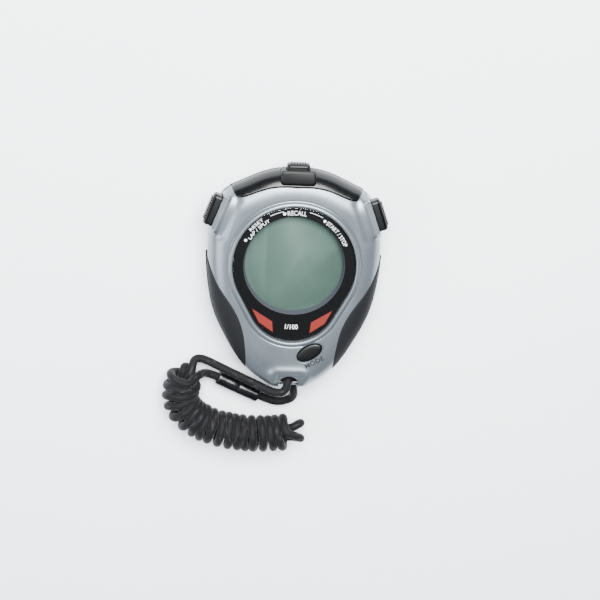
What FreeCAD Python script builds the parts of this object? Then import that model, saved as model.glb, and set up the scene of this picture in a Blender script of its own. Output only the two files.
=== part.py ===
import FreeCAD, Part
import math
import os

# Digital stopwatch lying on its back: +Z out of the display, +Y to 12 o'clock, +X to the start/stop side.
# Millimetres. The origin is under the middle of the stopwatch's own box, without its lanyard.

V = FreeCAD.Vector
up = V(0, 0, 1)

# case
half_width = 33.6        # widest half of the case
crown_height = 36.9      # display centre to the top of the case
tip_depth = 53.0         # display centre to the lower tip
rear_height = 11.0       # rear shell, table to parting line
front_height = 9.0       # front shell, parting line to the flat of the face
wall = 2.2               # side wall of both shells
floor = 2.2              # bottom wall of the rear shell
face_wall = 4.0          # front wall around the display
inlay_depth = 1.1        # how deep the grips and the top panel are let in
inlay_gap = 0.15         # groove round each inlay
grip_proud = 0.25
panel_proud = 0.5

# lens and display
lens_radius = 23.6       # round part of the lens
lens_drop = 30.4         # display centre to the lens's lower end
lens_tail_radius = 17.5
lens_thickness = 1.8
lens_gap = 0.15
rim_width = 1.6          # raised rim round the lens
rim_height = 0.8
shelf_width = 2.0        # ledge that the lens sits on
shelf_depth = 2.4        # ledge below the face
gasket_thickness = 0.5
dial_thickness = 0.3
window_radius = 19.6     # clear window in the dial ring
bezel_wall = 1.3
lcd_width = 42.0
lcd_height = 41.0
lcd_corner_radius = 23.0
lcd_thickness = 1.6
reflector_thickness = 0.7
strip_length = 22.0
strip_width = 2.0

# pushers
pusher_z = 14.8          # height of the three pusher axes
side_pusher_angle = 20.7
cap_width = 12.5
cap_height = 6.0
recall_cap_width = 8.8
cap_proud = 2.9
cap_sunk = 1.0           # cap below the case edge at rest
cap_clearance = 0.3
pusher_travel = 1.0
stem_radius = 1.5
stem_clearance = 0.06
spring_radius = 2.15
spring_wire = 0.4
spring_turns = 4
helix_points = 16        # points per turn that a spring's wire passes through
clip_radius = 2.4
clip_thickness = 0.4
switch_length = 3.5
switch_width = 6.0
switch_top = 1.5         # above the pusher axis
relief_height = 2.9      # room above the axis for clip and switch
guard_width = 13.3
guard_height = 8.0
guard_depth = 5.4

# mode button
mode_x = 7.5
mode_y = -34.8
mode_angle = 32.0
mode_long = 5.3          # half length and half width of the button
mode_short = 2.9
mode_gap = 0.3
mode_travel = 0.6
mode_flange = 0.9
mode_rim = 0.8

# inside
board_thickness = 1.2
board_inset = 4.6
board_top = 10.6
cell_radius = 10.0
cell_thickness = 3.2
cell_y = -6.0
hatch_radius = 12.0
hatch_sunk = 0.3
hatch_thickness = 1.6
hatch_gap = 0.3
lug_reach = 1.4
lug_thickness = 0.9
seal_thickness = 0.3
coin_slot_length = 14.0
coin_slot_width = 1.8
coin_slot_depth = 0.8
buzzer_radius = 9.5
buzzer_y = 19.0
screw_radius = 1.1
screw_head_radius = 2.1
screw_sunk = 1.4
boss_radius = 2.5
case_screw_places = [(-13.0, 29.6), (13.0, 29.6), (-16.4, -33.5), (16.4, -33.5)]
board_screw_places = [(-27.0, 2.0), (27.0, 2.0), (-2.5, -37.0)]

# lanyard
cord_diameter = 3.5
bar_radius = 0.9
bar_y = -50.4
bar_z = 12.2
bar_length = 12.0
notch_half = 4.0
notch_inner_y = -45.4
notch_bottom = 6.3
clasp_radius = 3.1
clasp_bore_depth = 2.5
hank_radius = 8.0        # three passes of cord wrapped once round
hank_lift = 0.1

parting = rear_height
face = rear_height + front_height
shelf = face - shelf_depth
ceiling = face - face_wall
dial_back = shelf + gasket_thickness
lens_back = dial_back + dial_thickness
lcd_top = ceiling - 1.0
lcd_back = lcd_top - lcd_thickness
board_back = board_top - board_thickness
cap_reach = crown_height + cap_proud
dial_y = (tip_depth - cap_reach) / 2   # display centre in the frame

# outline of the case: x in half widths, y in crown heights above the display centre and tip depths below
outline_shape = [
    (0.0, 1.0), (0.385, 0.943), (0.64, 0.838), (0.83, 0.736), (0.928, 0.558), (0.985, 0.339),
    (1.0, 0.081), (0.97, -0.179), (0.89, -0.404), (0.75, -0.594), (0.524, -0.817), (0.286, -0.94),
    (0.0, -1.0),
]
shoulder = 4             # the outline point that the side pushers stand on


def outline_point(i):
    x, y = outline_shape[i]
    return V(x * half_width, y * (crown_height if y > 0 else tip_depth), 0)


def outline_points():
    right = [outline_point(i) for i in range(len(outline_shape))]
    left = [V(-p.x, p.y, 0) for p in right[-2:0:-1]]
    return right + left


def closed_curve(points):
    curve = Part.BSplineCurve()
    curve.interpolate(points, PeriodicFlag=True)
    return Part.Wire([curve.toShape()])


def inset_outline(inset, z):
    """Case outline moved inwards by inset, at height z."""
    points = outline_points()
    count = len(points)
    moved = []
    for i, p in enumerate(points):
        along = points[(i + 1) % count] - points[i - 1]
        inward = V(along.y, -along.x, 0)
        inward.normalize()
        moved.append(V(p.x + inward.x * inset, p.y + inward.y * inset, z))
    return closed_curve(moved)


# edge profile of each shell: inset from the outline, height above the parting line
front_profile = [(0.0, 0.0), (0.05, 0.17), (0.9, 0.49), (2.7, 0.74), (5.8, 0.92), (10.0, 1.0)]
rear_profile = [(5.6, 0.0), (2.6, 0.13), (0.8, 0.42), (0.05, 0.78), (0.0, 1.0)]


def front_dome(grow):
    """Solid dome of the front shell, grown outwards, or shrunk where grow is negative."""
    wires = []
    for inset, share in front_profile:
        wires.append(inset_outline(inset - grow, parting + share * (front_height + grow)))
    return Part.makeLoft(wires, True)


def rear_bowl(grow):
    wires = []
    for inset, share in rear_profile:
        wires.append(inset_outline(inset - grow, parting - (1 - share) * (rear_height + grow)))
    return Part.makeLoft(wires, True)


def prism(wire, z0, z1):
    flat = wire.copy()
    flat.translate(V(0, 0, z0 - flat.BoundBox.ZMin))
    return Part.Face(flat).extrude(V(0, 0, z1 - z0))


def block(x0, x1, y0, y1, z0, z1):
    return Part.makeBox(x1 - x0, y1 - y0, z1 - z0, V(x0, y0, z0))


def disc(x, y, radius, z0, z1):
    return Part.makeCylinder(radius, z1 - z0, V(x, y, z0))


def ring(x, y, outer, inner, z0, z1):
    return disc(x, y, outer, z0, z1).cut(disc(x, y, inner, z0 - 1, z1 + 1))


def rod(start, axis, radius, length):
    return Part.makeCylinder(radius, length, start, axis)


def joined(shapes):
    result = shapes[0]
    if len(shapes) > 1:
        result = result.multiFuse(shapes[1:])
    return result.removeSplitter()


def lens_wire(grow, z):
    """Egg of the lens: a round top and a tapered lower end, grown outwards."""
    r = lens_radius + grow
    tail = lens_drop + grow
    tail_radius = lens_tail_radius + grow
    tail_centre = tail - tail_radius
    lean = math.asin((r - tail_radius) / tail_centre)
    nx = math.cos(lean)
    ny = -math.sin(lean)
    side = V(r * nx, r * ny, z)
    low = V(tail_radius * nx, -tail_centre + tail_radius * ny, z)
    edges = [
        Part.Arc(V(-side.x, side.y, z), V(0, r, z), side).toShape(),
        Part.LineSegment(side, low).toShape(),
        Part.Arc(low, V(0, -tail, z), V(-low.x, low.y, z)).toShape(),
        Part.LineSegment(V(-low.x, low.y, z), V(-side.x, side.y, z)).toShape(),
    ]
    return Part.Wire(edges)


def lens_prism(grow, z0, z1):
    return prism(lens_wire(grow, z0), z0, z1)


def ellipse_prism(a, b, z0, z1):
    curve = Part.Ellipse(V(0, 0, z0), a, b)
    shape = Part.Face(Part.Wire([curve.toShape()])).extrude(V(0, 0, z1 - z0))
    shape.rotate(V(0, 0, 0), up, mode_angle)
    shape.translate(V(mode_x, mode_y, 0))
    return shape


# inner edge of the right grip, from its thin top end down to the case's lower edge
grip_edge = [(1.02, 0.1), (0.93, -0.085), (0.83, -0.19), (0.715, -0.285), (0.62, -0.385),
             (0.556, -0.5), (0.525, -0.635), (0.512, -0.79), (0.515, -0.95)]
# inner edge of the top panel, from its middle to its right end
panel_edge = [(0.0, 0.82), (0.18, 0.813), (0.37, 0.785), (0.52, 0.73), (0.62, 0.694), (0.7, 0.72),
              (0.735, 0.793), (0.76, 0.94)]


def grip_region(gap):
    """Upright prism over the right grip's place."""
    points = []
    for x, y in grip_edge:
        points.append(V(x * half_width - gap, y * (crown_height if y > 0 else tip_depth) + gap * 0.6, 0))
    curve = Part.BSplineCurve()
    curve.interpolate(points)
    first = points[0]
    last = points[-1]
    outside = 1.5 * half_width
    edges = [
        curve.toShape(),
        Part.LineSegment(last, V(outside, last.y, 0)).toShape(),
        Part.LineSegment(V(outside, last.y, 0), V(outside, first.y, 0)).toShape(),
        Part.LineSegment(V(outside, first.y, 0), first).toShape(),
    ]
    return Part.Face(Part.Wire(edges)).extrude(V(0, 0, 2 * face))


def panel_region(gap):
    """Upright prism over the top panel's place."""
    right = [V(x * half_width + gap * (x > 0), y * crown_height - gap, 0) for x, y in panel_edge]
    left = [V(-p.x, p.y, 0) for p in right[:0:-1]]
    curve = Part.BSplineCurve()
    curve.interpolate(left + right)
    top = 1.4 * crown_height
    a = right[-1]
    b = left[0]
    edges = [
        curve.toShape(),
        Part.LineSegment(a, V(a.x, top, 0)).toShape(),
        Part.LineSegment(V(a.x, top, 0), V(b.x, top, 0)).toShape(),
        Part.LineSegment(V(b.x, top, 0), b).toShape(),
    ]
    return Part.Face(Part.Wire(edges)).extrude(V(0, 0, 2 * face))


def mirrored(shape):
    return shape.mirror(V(0, 0, 0), V(1, 0, 0))


# Pusher places: name, point on the outline, axis angle, cap width
side_point = outline_point(shoulder)
pushers = [
    ("start_stop", side_point, side_pusher_angle, cap_width),
    ("lap_reset", V(-side_point.x, side_point.y, 0), 180 - side_pusher_angle, cap_width),
    ("recall", outline_point(0), 90.0, recall_cap_width),
]

# Distances along a pusher's axis, from the case outline, outwards positive
cap_back = -cap_sunk
pocket_floor = cap_back - pusher_travel - cap_clearance
spring_seat = pocket_floor - 2.7
boss_inner = spring_seat - 2.8
clip_back = boss_inner - clip_thickness
stem_end = clip_back - 0.8
switch_front = stem_end - pusher_travel - 0.2
pocket_half = cap_height / 2 + cap_clearance


def placed(shape, point, angle):
    """Moves a shape made along +X at the outline to its pusher's place."""
    shape.rotate(V(0, 0, 0), up, angle)
    shape.translate(V(point.x, point.y, pusher_z))
    return shape


def axial_block(a0, a1, half_y, half_z):
    return block(a0, a1, -half_y, half_y, -half_z, half_z)


def axial_rod(a0, a1, radius):
    return rod(V(a0, 0, 0), V(1, 0, 0), radius, a1 - a0)


def boss_block(width):
    return axial_block(boss_inner, pocket_floor + 0.2, width / 2 + 1.4, pocket_half)


def pocket_block(width):
    return axial_block(pocket_floor, 12.0, width / 2 + cap_clearance, pocket_half)


def pusher_bores():
    """Stem bore, spring counterbore and the room behind for the clip and the switch."""
    return joined([
        axial_block(switch_front - switch_length - 0.4, boss_inner, switch_width / 2 + 0.6, relief_height),
        axial_rod(boss_inner - 1, pocket_floor + 1, stem_radius + stem_clearance),
        axial_rod(spring_seat, pocket_floor + 1, spring_radius + spring_wire / 2 + 0.15),
    ])


def pusher_solid(width):
    """Cap and stem in one moulding, with a seal groove and a clip groove."""
    cap = axial_block(cap_back, cap_proud, width / 2, cap_height / 2)
    cap = cap.makeFillet(1.2, [e for e in cap.Edges if e.BoundBox.XMin > cap_proud - 0.01])
    stem = axial_rod(stem_end, cap_back + 0.5, stem_radius)
    seal_groove = axial_rod(boss_inner + 1.0, boss_inner + 2.0, stem_radius + 1)
    seal_groove = seal_groove.cut(axial_rod(boss_inner, boss_inner + 3.0, stem_radius - 0.5))
    clip_groove = axial_rod(clip_back, boss_inner, stem_radius + 1)
    clip_groove = clip_groove.cut(axial_rod(clip_back - 1, boss_inner + 1, stem_radius - 0.4))
    return joined([cap, stem]).cut(seal_groove).cut(clip_groove)


def pusher_seal():
    ring_shape = Part.makeTorus(stem_radius - 0.5 + 0.27, 0.27, V(boss_inner + 1.5, 0, 0), V(1, 0, 0))
    return ring_shape


def pusher_clip():
    clip = axial_rod(clip_back + 0.02, boss_inner - 0.02, clip_radius)
    clip = clip.cut(axial_rod(clip_back - 1, boss_inner + 1, stem_radius - 0.38))
    return clip.cut(block(clip_back - 1, boss_inner + 1, -0.7, 0.7, 0, clip_radius + 1))


def coil_spring(radius, wire, length, turns):
    """Helical spring standing on z = 0, its wire swept along a smooth curve through points of the helix."""
    pitch = (length - wire) / turns
    points = []
    for k in range(turns * helix_points + 1):
        turned = 2 * math.pi * k / helix_points
        points.append(V(radius * math.cos(turned), radius * math.sin(turned), pitch * k / helix_points))
    curve = Part.BSplineCurve()
    curve.interpolate(points)
    section = Part.Wire([Part.makeCircle(wire / 2, points[0], curve.tangent(curve.FirstParameter)[0])])
    spring = Part.Wire([curve.toShape()]).makePipeShell([section], True, True)
    spring.translate(V(0, 0, wire / 2))
    return spring


def return_spring():
    spring = coil_spring(spring_radius, spring_wire, cap_back - spring_seat - 0.1, spring_turns)
    spring.rotate(V(0, 0, 0), V(0, 1, 0), 90)
    spring.translate(V(spring_seat + 0.05, 0, 0))
    return spring


def side_switch():
    """Side-acting switch standing on the board behind the stem."""
    body = block(switch_front - switch_length, switch_front - 0.6, -switch_width / 2, switch_width / 2,
                 board_top - pusher_z, switch_top)
    nub = axial_rod(switch_front - 0.8, switch_front, 1.0)
    return joined([body, nub])


def export(shape, name):
    shape = shape.copy()
    shape.translate(V(0, dial_y, 0))
    if not shape.isValid():
        print("not valid:", name)
    shape.exportStep("parts/" + name + ".step")
    print(name, len(shape.Solids), "solid(s)", round(shape.Volume, 2), "mm3")


def nose_keep():
    """Solid nose that carries the lanyard bar."""
    return block(-notch_half - 2.4, notch_half + 2.4, -2 * tip_depth, notch_inner_y + 2.0, 0, 2 * face)


def lanyard_notch():
    slot = block(-notch_half, notch_half, -2 * tip_depth, notch_inner_y - notch_half, notch_bottom, 2 * face)
    return joined([slot, disc(0, notch_inner_y - notch_half, notch_half, notch_bottom, 2 * face)])


def bar_shape(extra):
    return rod(V(-bar_length / 2 - extra, bar_y, bar_z), V(1, 0, 0), bar_radius + extra, bar_length + 2 * extra)


def case_shells():
    skin = front_dome(0)
    rim = lens_prism(lens_gap + rim_width, shelf, face + rim_height)
    front = joined([skin, rim])

    cavity_profile = [(wall, 0.0), (wall, 0.25), (wall + 1.2, 0.75), (wall + 3.4, 1.0)]
    wires = []
    for inset, share in cavity_profile:
        wires.append(inset_outline(inset, parting + share * (ceiling - parting)))
    cavity = Part.makeLoft(wires, True)
    cavity = cavity.cut(nose_keep())
    for name, point, angle, width in pushers:
        block_width = guard_width - 2.0 if name == "recall" else width
        cavity = cavity.cut(placed(boss_block(block_width), point, angle))
    for x, y in case_screw_places:
        cavity = cavity.cut(disc(x, y, boss_radius, parting, face))
    for x, y in board_screw_places:
        cavity = cavity.cut(disc(x, y, 2.0, board_top, face))
    front = front.cut(cavity)

    front = front.cut(lens_prism(lens_gap, shelf, 2 * face))
    front = front.cut(lens_prism(-shelf_width, parting, 2 * face))
    inner = front_dome(-inlay_depth)
    front = front.cut(grip_region(inlay_gap).cut(inner))
    front = front.cut(mirrored(grip_region(inlay_gap)).cut(inner))
    front = front.cut(panel_region(inlay_gap).cut(inner))
    for name, point, angle, width in pushers:
        if name != "recall":
            front = front.cut(placed(pocket_block(width), point, angle))
        front = front.cut(placed(pusher_bores(), point, angle))
    front = front.cut(guard_block(0.05))
    front = front.cut(ellipse_prism(mode_long + mode_gap, mode_short + mode_gap, parting, 2 * face))
    front = front.cut(ellipse_prism(mode_long + mode_rim, mode_short + mode_rim, face - 0.5, 2 * face))
    front = front.cut(lanyard_notch()).cut(bar_shape(0.02))
    for x, y in case_screw_places:
        front = front.cut(disc(x, y, screw_radius, parting - 1, face - 3.0))
    for x, y in board_screw_places:
        front = front.cut(disc(x, y, 0.8, board_top - 1, face - 4.5))

    rear = rear_bowl(0)
    wires = []
    bowl_profile = [(wall + 3.0, floor), (wall + 1.0, floor + 1.2), (wall, floor + 4.0), (wall, parting)]
    for inset, z in bowl_profile:
        wires.append(inset_outline(inset, z))
    bowl = Part.makeLoft(wires, True)
    bowl = bowl.cut(nose_keep())
    for x, y in case_screw_places:
        bowl = bowl.cut(disc(x, y, boss_radius, 0, parting))
    well_top = hatch_sunk + hatch_thickness + cell_thickness - 0.2
    well = ring(0, cell_y, cell_radius + 2.0, cell_radius + 0.4, 0, well_top)
    ledge = disc(0, cell_y, hatch_radius + lug_reach + 1.6, 0, floor + 1.0)
    rear = rear.cut(bowl.cut(well).cut(ledge))
    rear = rear.cut(disc(0, cell_y, cell_radius + 0.4, -1, parting))
    rear = rear.cut(disc(0, cell_y, hatch_radius + hatch_gap, -1, hatch_sunk + hatch_thickness + seal_thickness))
    groove_base = hatch_sunk + hatch_thickness - lug_thickness - 0.1
    rear = rear.cut(disc(0, cell_y, hatch_radius + lug_reach + 0.2, groove_base,
                         hatch_sunk + hatch_thickness + seal_thickness))
    for turn in lug_turns:
        rear = rear.cut(lug_shape(turn + hatch_open, 0.2, -1.0, groove_base + 0.1))
    for x, y in case_screw_places:
        rear = rear.cut(disc(x, y, screw_head_radius + 0.2, -1, screw_sunk + 1.4))
        rear = rear.cut(disc(x, y, screw_radius + 0.15, -1, parting + 1))
    for i in range(sound_holes):
        turn = 2 * math.pi * i / sound_holes
        rear = rear.cut(disc(2.6 * math.cos(turn), buzzer_y + 2.6 * math.sin(turn), 0.7, -1, floor + 1))
    seat = prism(inset_outline(0.7, 0), gasket_floor, parting + 1)
    seat = seat.cut(prism(inset_outline(1.5, 0), gasket_floor - 1, parting + 2))
    seat = seat.cut(block(-notch_half - 1.2, notch_half + 1.2, -2 * tip_depth, notch_inner_y, 0, face))
    rear = rear.cut(seat)
    rear = rear.cut(lanyard_notch())
    gasket = seat.common(block(-100, 100, -100, 100, gasket_floor, parting))
    return front, rear, gasket


sound_holes = 6
gasket_floor = parting - 0.8
lug_turns = [90, 210, 330]
hatch_open = 30          # degrees from locked to the lugs' entry slots


def lug_shape(turn, gap, z0, z1):
    """One bayonet lug of the hatch."""
    lug = block(0, hatch_radius + lug_reach + gap, -2.5 - gap, 2.5 + gap, z0, z1)
    lug = lug.common(disc(0, 0, hatch_radius + lug_reach + gap, z0, z1))
    lug.rotate(V(0, 0, 0), up, turn)
    lug.translate(V(0, cell_y, 0))
    return lug


def guard_block(extra):
    depth = guard_depth + extra
    front = crown_height + 0.4
    shape = block(-guard_width / 2 - extra, guard_width / 2 + extra, front - depth, front + 5 * (extra > 0),
                  parting, parting + guard_height + 5 * (extra > 0))
    return shape


def recall_guard():
    """Collar that shields the top pusher."""
    guard = guard_block(0)
    outer = [e for e in guard.Edges if e.BoundBox.ZMin > parting + guard_height - 0.01]
    guard = guard.makeFillet(1.3, outer)
    point = outline_point(0)
    guard = guard.cut(placed(pocket_block(recall_cap_width), point, 90))
    return guard.cut(placed(pusher_bores(), point, 90))


def inlays():
    inner = front_dome(-inlay_depth)
    grip_skin = front_dome(grip_proud)
    grip = grip_skin.common(grip_region(0)).cut(inner)
    panel = front_dome(panel_proud).common(panel_region(0)).cut(inner)
    panel = panel.cut(guard_block(0.05))
    return grip, panel


def mode_button():
    cap = ellipse_prism(mode_long, mode_short, ceiling - mode_travel, face + 0.2)
    cap = cap.makeFillet(0.5, [e for e in cap.Edges if e.BoundBox.ZMin > face + 0.19])
    flange = ellipse_prism(mode_long + 1.0, mode_short + 1.0, ceiling - 0.1 - mode_flange, ceiling - 0.1)
    stem = disc(mode_x, mode_y, 1.6, board_top + 0.8 + mode_travel + 0.2, ceiling - 0.5)
    return joined([cap, flange, stem])


def board():
    shape = prism(inset_outline(board_inset, 0), board_back, board_top)
    for x, y in case_screw_places:
        shape = shape.cut(disc(x, y, boss_radius + 0.4, 0, face))
    for x, y in board_screw_places:
        shape = shape.cut(disc(x, y, screw_radius, 0, face))
    return shape.cut(nose_keep())


def screw(x, y, z0, z1, radius, head_radius, head_height):
    """Pan head screw standing on its head, with a cross recess."""
    head = disc(x, y, head_radius, z0, z0 + head_height)
    shank = disc(x, y, radius - 0.02, z0 + head_height, z1)
    shape = joined([head, shank])
    depth = head_height * 0.5
    shape = shape.cut(block(x - head_radius * 0.6, x + head_radius * 0.6, y - 0.25, y + 0.25, z0 - 1, z0 + depth))
    return shape.cut(block(x - 0.25, x + 0.25, y - head_radius * 0.6, y + head_radius * 0.6, z0 - 1, z0 + depth))


def battery_hatch():
    top = hatch_sunk + hatch_thickness
    shape = disc(0, cell_y, hatch_radius, hatch_sunk, top)
    for turn in lug_turns:
        shape = shape.fuse(lug_shape(turn, 0, top - lug_thickness, top))
    shape = shape.removeSplitter()
    slot = block(-coin_slot_length / 2, coin_slot_length / 2, cell_y - coin_slot_width / 2,
                 cell_y + coin_slot_width / 2, -1, hatch_sunk + coin_slot_depth)
    return shape.cut(slot)


# Lanyard route, measured from the display centre. The strand leaves the clasp's socket, passes under and
# round the bar, crosses the lower left of the case and enters the hank's upper end.
clasp_left = V(-28.2, -52.4, 3.2)
clasp_right = V(-11.2, -60.2, 3.2)
clasp_exit = 4.4         # straight stretch of cord outside each end of the clasp
strand_bends = [
    (-2.2, -63.2, 2.6), (2.9, -60.6, 4.2), (3.0, -56.4, 7.4), (2.2, -53.2, 9.2),
    (1.2, -47.7, 9.3), (0.0, -47.7, 15.1), (-0.9, -53.4, 15.6), (-5.4, -54.4, 14.6), (-11.4, -52.2, 12.4),
    (-17.4, -50.3, 9.8), (-23.6, -48.2, 7.6), (-29.4, -45.9, 6.0), (-34.8, -43.6, 5.4), (-38.2, -43.7, 6.3),
]
hank_bends = [
    (-40.3, -48.6), (-44.2, -57.0), (-41.2, -66.0), (-32.2, -72.0), (-20.4, -74.9), (-7.0, -75.4),
    (5.4, -73.6),
]
tail_bends = [(-38.4, -52.6, 12.2), (-35.6, -49.4, 8.2)]


def rounded_route(points):
    """Straight runs joined by tangent arcs. Each arc is as large as its two runs allow."""
    edges = []
    radii = []
    start = points[0]
    for i in range(1, len(points) - 1):
        before = points[i] - points[i - 1]
        after = points[i + 1] - points[i]
        half_turn = before.getAngle(after) / 2
        cut = 0.45 * min(before.Length, after.Length)
        radii.append(cut / math.tan(half_turn))
        one = V(before)
        one.normalize()
        two = V(after)
        two.normalize()
        enter = points[i] - one * cut
        leave = points[i] + two * cut
        bisector = two - one
        bisector.normalize()
        sag = radii[-1] / math.cos(half_turn) - radii[-1]
        edges.append(Part.LineSegment(start, enter).toShape())
        edges.append(Part.Arc(enter, points[i] + bisector * sag, leave).toShape())
        start = leave
    edges.append(Part.LineSegment(start, points[-1]).toShape())
    return Part.Wire(edges), radii


def tube(points, radius, name):
    path, radii = rounded_route(points)
    heading = points[1] - points[0]
    section = Part.Wire([Part.makeCircle(radius, points[0], heading)])
    solid = path.makePipeShell([section], True, False)
    expected = math.pi * radius ** 2 * path.Length
    print(name, "length", round(path.Length, 1), "radii", [round(r, 1) for r in radii],
          "volume share", round(solid.Volume / expected, 4))
    return solid


def lanyard():
    axis = clasp_right - clasp_left
    axis.normalize()
    cord_radius = cord_diameter / 2
    hank_points = [V(x, y, hank_radius + hank_lift) for x, y in hank_bends]
    start = [clasp_right - axis * clasp_bore_depth, clasp_right + axis * clasp_exit]
    strand = tube(start + [V(*p) for p in strand_bends] + hank_points[:1], cord_radius, "lanyard_strand")
    hank = tube(hank_points, hank_radius, "lanyard_hank")
    ends = [e for e in hank.Edges if e.BoundBox.DiagonalLength < 3 * hank_radius and e.Closed]
    hank = hank.makeFillet(2.2, ends)
    end = [clasp_left - axis * clasp_exit, clasp_left + axis * clasp_bore_depth]
    tail = tube([V(*p) for p in tail_bends] + end, cord_radius, "lanyard_tail")
    return strand.cut(hank), hank, tail.cut(hank)


def clasp_half(end, inward, reach):
    """One half of the breakaway clasp, from its cord end towards the middle."""
    body = rod(end, inward, clasp_radius, reach)
    body = body.makeFillet(0.8, [e for e in body.Edges if e.Closed and e.CenterOfMass.distanceToPoint(end) < 0.5])
    return body.cut(rod(end - inward, inward, cord_diameter / 2 + 0.02, clasp_bore_depth + 1))


def clasp():
    axis = clasp_right - clasp_left
    reach = axis.Length / 2
    axis.normalize()
    middle = clasp_left + axis * reach
    socket = clasp_half(clasp_right, axis * -1, reach - 0.1)
    socket = socket.cut(rod(middle - axis, axis, 1.9, 5.0))
    plug = clasp_half(clasp_left, axis, reach)
    plug = joined([plug, rod(middle - axis * 0.5, axis, 1.8, 4.0)])
    return socket, plug


def contacts():
    cell_top = hatch_sunk + hatch_thickness + cell_thickness
    strip = block(-2.0, 2.0, cell_y - 2.0, cell_y + 14.0, cell_top, cell_top + 0.3)
    leg = block(-2.0, 2.0, cell_y + 13.7, cell_y + 14.0, cell_top, board_back)
    negative = joined([strip, leg])
    x = cell_radius + 0.02
    blade = block(x, x + 0.3, cell_y - 1.2, cell_y + 1.2, cell_top - 2.2, board_back)
    foot = block(x, x + 3.0, cell_y - 1.2, cell_y + 1.2, board_back - 0.3, board_back)
    return negative, joined([blade, foot])


def buzzer_springs():
    base = floor + 0.4
    shapes = []
    for x in (-4.0, 4.0):
        spring = coil_spring(1.2, 0.35, board_back - base - 0.04, 5)
        spring.translate(V(x, buzzer_y, base + 0.02))
        shapes.append(spring)
    return Part.makeCompound(shapes)


def lcd_shape(inset, z0, z1):
    half_x = lcd_width / 2 - inset
    half_y = lcd_height / 2 - inset
    return block(-half_x, half_x, -half_y, half_y, z0, z1).common(disc(0, 0, lcd_corner_radius - inset, z0, z1))


os.makedirs("parts", exist_ok=True)

front_case, rear_case, case_gasket = case_shells()
export(front_case, "front_case")
export(rear_case, "rear_case")
export(case_gasket, "case_gasket")

screws = [screw(x, y, screw_sunk, face - 5.0, screw_radius, screw_head_radius, 1.4) for x, y in case_screw_places]
export(Part.makeCompound(screws), "case_screws")

right_grip, top_panel = inlays()
export(right_grip, "right_grip")
export(mirrored(right_grip), "left_grip")
export(top_panel, "top_panel")
export(recall_guard(), "recall_guard")

export(lens_prism(0, lens_back, lens_back + lens_thickness), "lens")
export(lens_prism(-0.1, shelf, dial_back).cut(lens_prism(-shelf_width, 0, 2 * face)), "lens_gasket")
export(lens_prism(-0.1, dial_back, lens_back).cut(disc(0, 0, window_radius, 0, 2 * face)), "dial_ring")
bezel = joined([
    disc(0, 0, window_radius + bezel_wall, lcd_top, dial_back),
    disc(0, 0, lcd_corner_radius, lcd_top, ceiling),
])
export(bezel.cut(disc(0, 0, window_radius, 0, 2 * face)), "display_bezel")
export(lcd_shape(0, lcd_back, lcd_top), "lcd_panel")
reflector_back = lcd_back - reflector_thickness
strip_y = lcd_height / 2 - strip_width - 0.3
reflector = lcd_shape(0.4, reflector_back, lcd_back)
for side in (-1, 1):
    reflector = reflector.cut(block(-30, 30, side * 30 - 30 + side * (strip_y - 0.2),
                                    side * 30 + 30 + side * (strip_y - 0.2), 0, face))
export(reflector, "lcd_reflector")
for side, name in ((1, "zebra_strip_upper"), (-1, "zebra_strip_lower")):
    low = min(side * strip_y, side * (strip_y + strip_width))
    export(block(-strip_length / 2, strip_length / 2, low, low + strip_width, board_top, lcd_back), name)

export(board(), "circuit_board")
screws = [screw(x, y, board_back - 1.0, face - 5.2, 0.8, 1.7, 1.0) for x, y in board_screw_places]
export(Part.makeCompound(screws), "board_screws")
export(disc(0, 2.0, 6.0, board_top, board_top + 1.3), "controller_chip")
crystal = rod(V(9.0, 6.0, board_back - 1.1), V(0, 1, 0), 1.0, 6.0)
export(crystal, "quartz_crystal")
chips = [block(x, x + 1.6, -24.0, -23.2, board_back - 0.8, board_back) for x in (-6.0, -3.0, 0.0, 3.0)]
export(Part.makeCompound(chips), "chip_capacitors")
export(disc(0, buzzer_y, buzzer_radius, floor, floor + 0.4), "piezo_buzzer")
export(buzzer_springs(), "buzzer_springs")

cell_base = hatch_sunk + hatch_thickness
export(disc(0, cell_y, cell_radius, cell_base, cell_base + cell_thickness), "coin_cell")
contact_negative, contact_positive = contacts()
export(contact_negative, "battery_contact_negative")
export(contact_positive, "battery_contact_positive")
export(battery_hatch(), "battery_hatch")
seal = ring(0, cell_y, hatch_radius - 0.1, cell_radius + 0.8, cell_base, cell_base + seal_thickness)
export(seal, "hatch_seal")

for name, point, angle, width in pushers:
    export(placed(pusher_solid(width), point, angle), name + "_pusher")
    export(placed(return_spring(), point, angle), name + "_spring")
    export(placed(pusher_seal(), point, angle), name + "_seal")
    export(placed(pusher_clip(), point, angle), name + "_clip")
    export(placed(side_switch(), point, angle), name + "_switch")

export(mode_button(), "mode_button")
dome = disc(mode_x, mode_y, 3.0, board_top, board_top + 0.8)
dome = dome.makeFillet(0.5, [e for e in dome.Edges if e.BoundBox.ZMin > board_top + 0.7])
export(dome, "mode_dome")

export(bar_shape(0), "lanyard_bar")
lanyard_strand, lanyard_hank, lanyard_tail = lanyard()
export(lanyard_strand, "lanyard_strand")
export(lanyard_hank, "lanyard_hank")
export(lanyard_tail, "lanyard_tail")
clasp_socket, clasp_plug = clasp()
export(clasp_socket, "clasp_socket")
export(clasp_plug, "clasp_plug")
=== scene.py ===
import math

import bmesh
import bpy
import numpy as np
from mathutils import Matrix, Vector


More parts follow.
